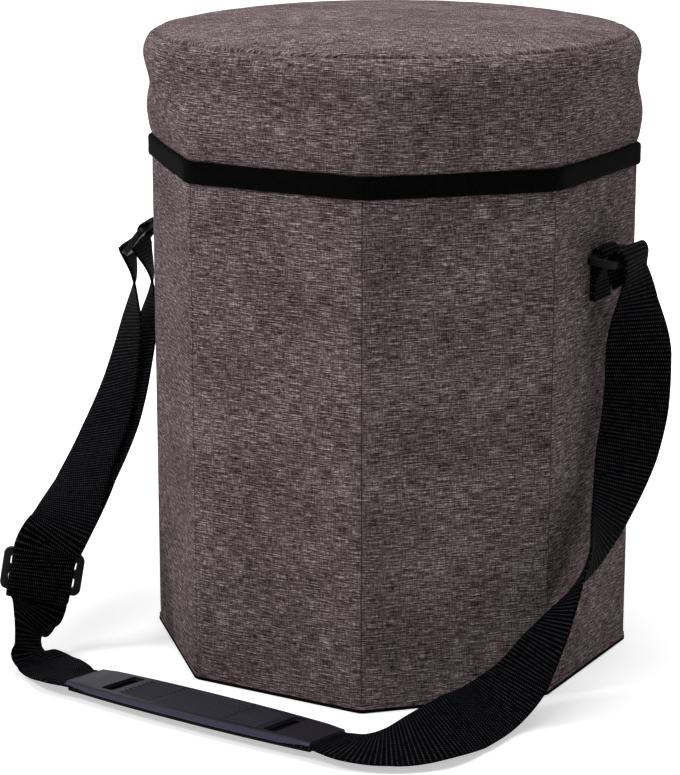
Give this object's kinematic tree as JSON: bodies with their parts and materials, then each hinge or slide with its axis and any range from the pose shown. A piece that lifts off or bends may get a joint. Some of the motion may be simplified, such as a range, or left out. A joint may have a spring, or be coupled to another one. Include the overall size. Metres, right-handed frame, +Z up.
{
  "type": "folding cooler stool",
  "caption": "Eight-sided insulated cloth box that folds flat, with a padded round hinged seat lid and a webbing shoulder strap with a rubber pad; a seat that stores and keeps food cool.",
  "frame": {"origin": "on the floor under the middle of the seat", "axes": "+Z up, front wall towards -Y, strap walls at +X and -X, lid hinge at +Y"},
  "size_m": [0.3995, 0.3772, 0.3991],
  "materials": {
    "melange_cloth": "brown-grey melange weave with horizontal slubs",
    "fibreboard": "stiff fibreboard",
    "foil_foam": "silver foil film on closed-cell foam",
    "black_cloth": "black woven tape and cloth",
    "webbing": "ribbed black webbing",
    "black_plastic": "moulded black plastic, satin",
    "pad_rubber": "soft moulded rubber, lengthwise ridges",
    "seat_foam": "open-cell upholstery foam"
  },
  "bodies": {
    "box_front": {"wall_cover_front": "melange_cloth", "wall_board_front": "fibreboard", "wall_foam_front": "foil_foam", "base_cloth": "black_cloth", "base_board": "fibreboard", "base_liner": "foil_foam", "base_tape": "black_cloth", "shoulder_pad": "pad_rubber"},
    "wall_front_left": {"wall_cover_front_left": "melange_cloth", "wall_board_front_left": "fibreboard", "wall_foam_front_left": "foil_foam", "strap_slider": "black_plastic", "strap_left_lower": "webbing"},
    "wall_left": {"wall_cover_left": "melange_cloth", "wall_board_left": "fibreboard", "wall_foam_left": "foil_foam", "tab_left": "webbing", "ring_left": "black_plastic", "strap_left_upper": "webbing", "strap_return": "webbing"},
    "wall_rear_left": {"wall_cover_rear_left": "melange_cloth", "wall_board_rear_left": "fibreboard", "wall_foam_rear_left": "foil_foam"},
    "wall_rear": {"wall_cover_rear": "melange_cloth", "wall_board_rear": "fibreboard", "wall_foam_rear": "foil_foam", "lid_hinge_strip": "black_cloth"},
    "wall_rear_right": {"wall_cover_rear_right": "melange_cloth", "wall_board_rear_right": "fibreboard", "wall_foam_rear_right": "foil_foam"},
    "wall_front_right": {"wall_cover_front_right": "melange_cloth", "wall_board_front_right": "fibreboard", "wall_foam_front_right": "foil_foam", "strap_right_lower": "webbing"},
    "wall_right": {"wall_cover_right": "melange_cloth", "wall_board_right": "fibreboard", "wall_foam_right": "foil_foam", "tab_right": "webbing", "ring_right": "black_plastic", "strap_right_upper": "webbing"},
    "lid": {"lid_liner": "foil_foam", "lid_board": "fibreboard", "lid_band": "black_cloth", "seat_foam": "seat_foam", "seat_cover": "melange_cloth"}
  },
  "joints": [
    {"name": "seam_front_left", "type": "hinge", "parent": "box_front", "child": "wall_front_left", "pos_m": [-0.05882, -0.142, 0.157], "axis": [0, 0, 1], "range_deg": [0, 40.5]},
    {"name": "seam_left", "type": "hinge", "parent": "wall_front_left", "child": "wall_left", "pos_m": [-0.142, -0.05882, 0.157], "axis": [0, 0, 1], "range_deg": [0, 40.5]},
    {"name": "fold", "type": "hinge", "parent": "wall_left", "child": "wall_rear_left", "pos_m": [-0.1324, 0.05484, 0.157], "axis": [0, 0, -1], "range_deg": [0, 121.5], "deforming": ["strap_right_upper", "strap_right_lower", "strap_left_lower", "strap_left_upper", "strap_return"]},
    {"name": "seam_rear_left", "type": "hinge", "parent": "wall_rear_left", "child": "wall_rear", "pos_m": [-0.05882, 0.142, 0.157], "axis": [0, 0, 1], "range_deg": [0, 40.5]},
    {"name": "seam_rear_right", "type": "hinge", "parent": "wall_rear", "child": "wall_rear_right", "pos_m": [0.05882, 0.142, 0.157], "axis": [0, 0, 1], "range_deg": [0, 40.5]},
    {"name": "seam_front_right", "type": "hinge", "parent": "box_front", "child": "wall_front_right", "pos_m": [0.05882, -0.142, 0.157], "axis": [0, 0, 1], "range_deg": [-40.5, 0]},
    {"name": "fold_right", "type": "hinge", "parent": "wall_front_right", "child": "wall_right", "pos_m": [0.1324, -0.05484, 0.157], "axis": [0, 0, 1], "range_deg": [0, 121.5]},
    {"name": "lid_open", "type": "hinge", "parent": "wall_rear", "child": "lid", "pos_m": [0, 0.144, 0.3103], "axis": [-1, 0, 0], "range_deg": [0, 165]}
  ],
  "couplings": [
    {"joint": "seam_front_left", "follows": "fold", "ratio": 0.33333},
    {"joint": "seam_left", "follows": "fold", "ratio": 0.33333},
    {"joint": "seam_rear_left", "follows": "fold", "ratio": 0.33333},
    {"joint": "seam_rear_right", "follows": "fold", "ratio": 0.33333},
    {"joint": "seam_front_right", "follows": "fold", "ratio": -0.33333},
    {"joint": "fold_right", "follows": "fold", "ratio": 1}
  ]
}
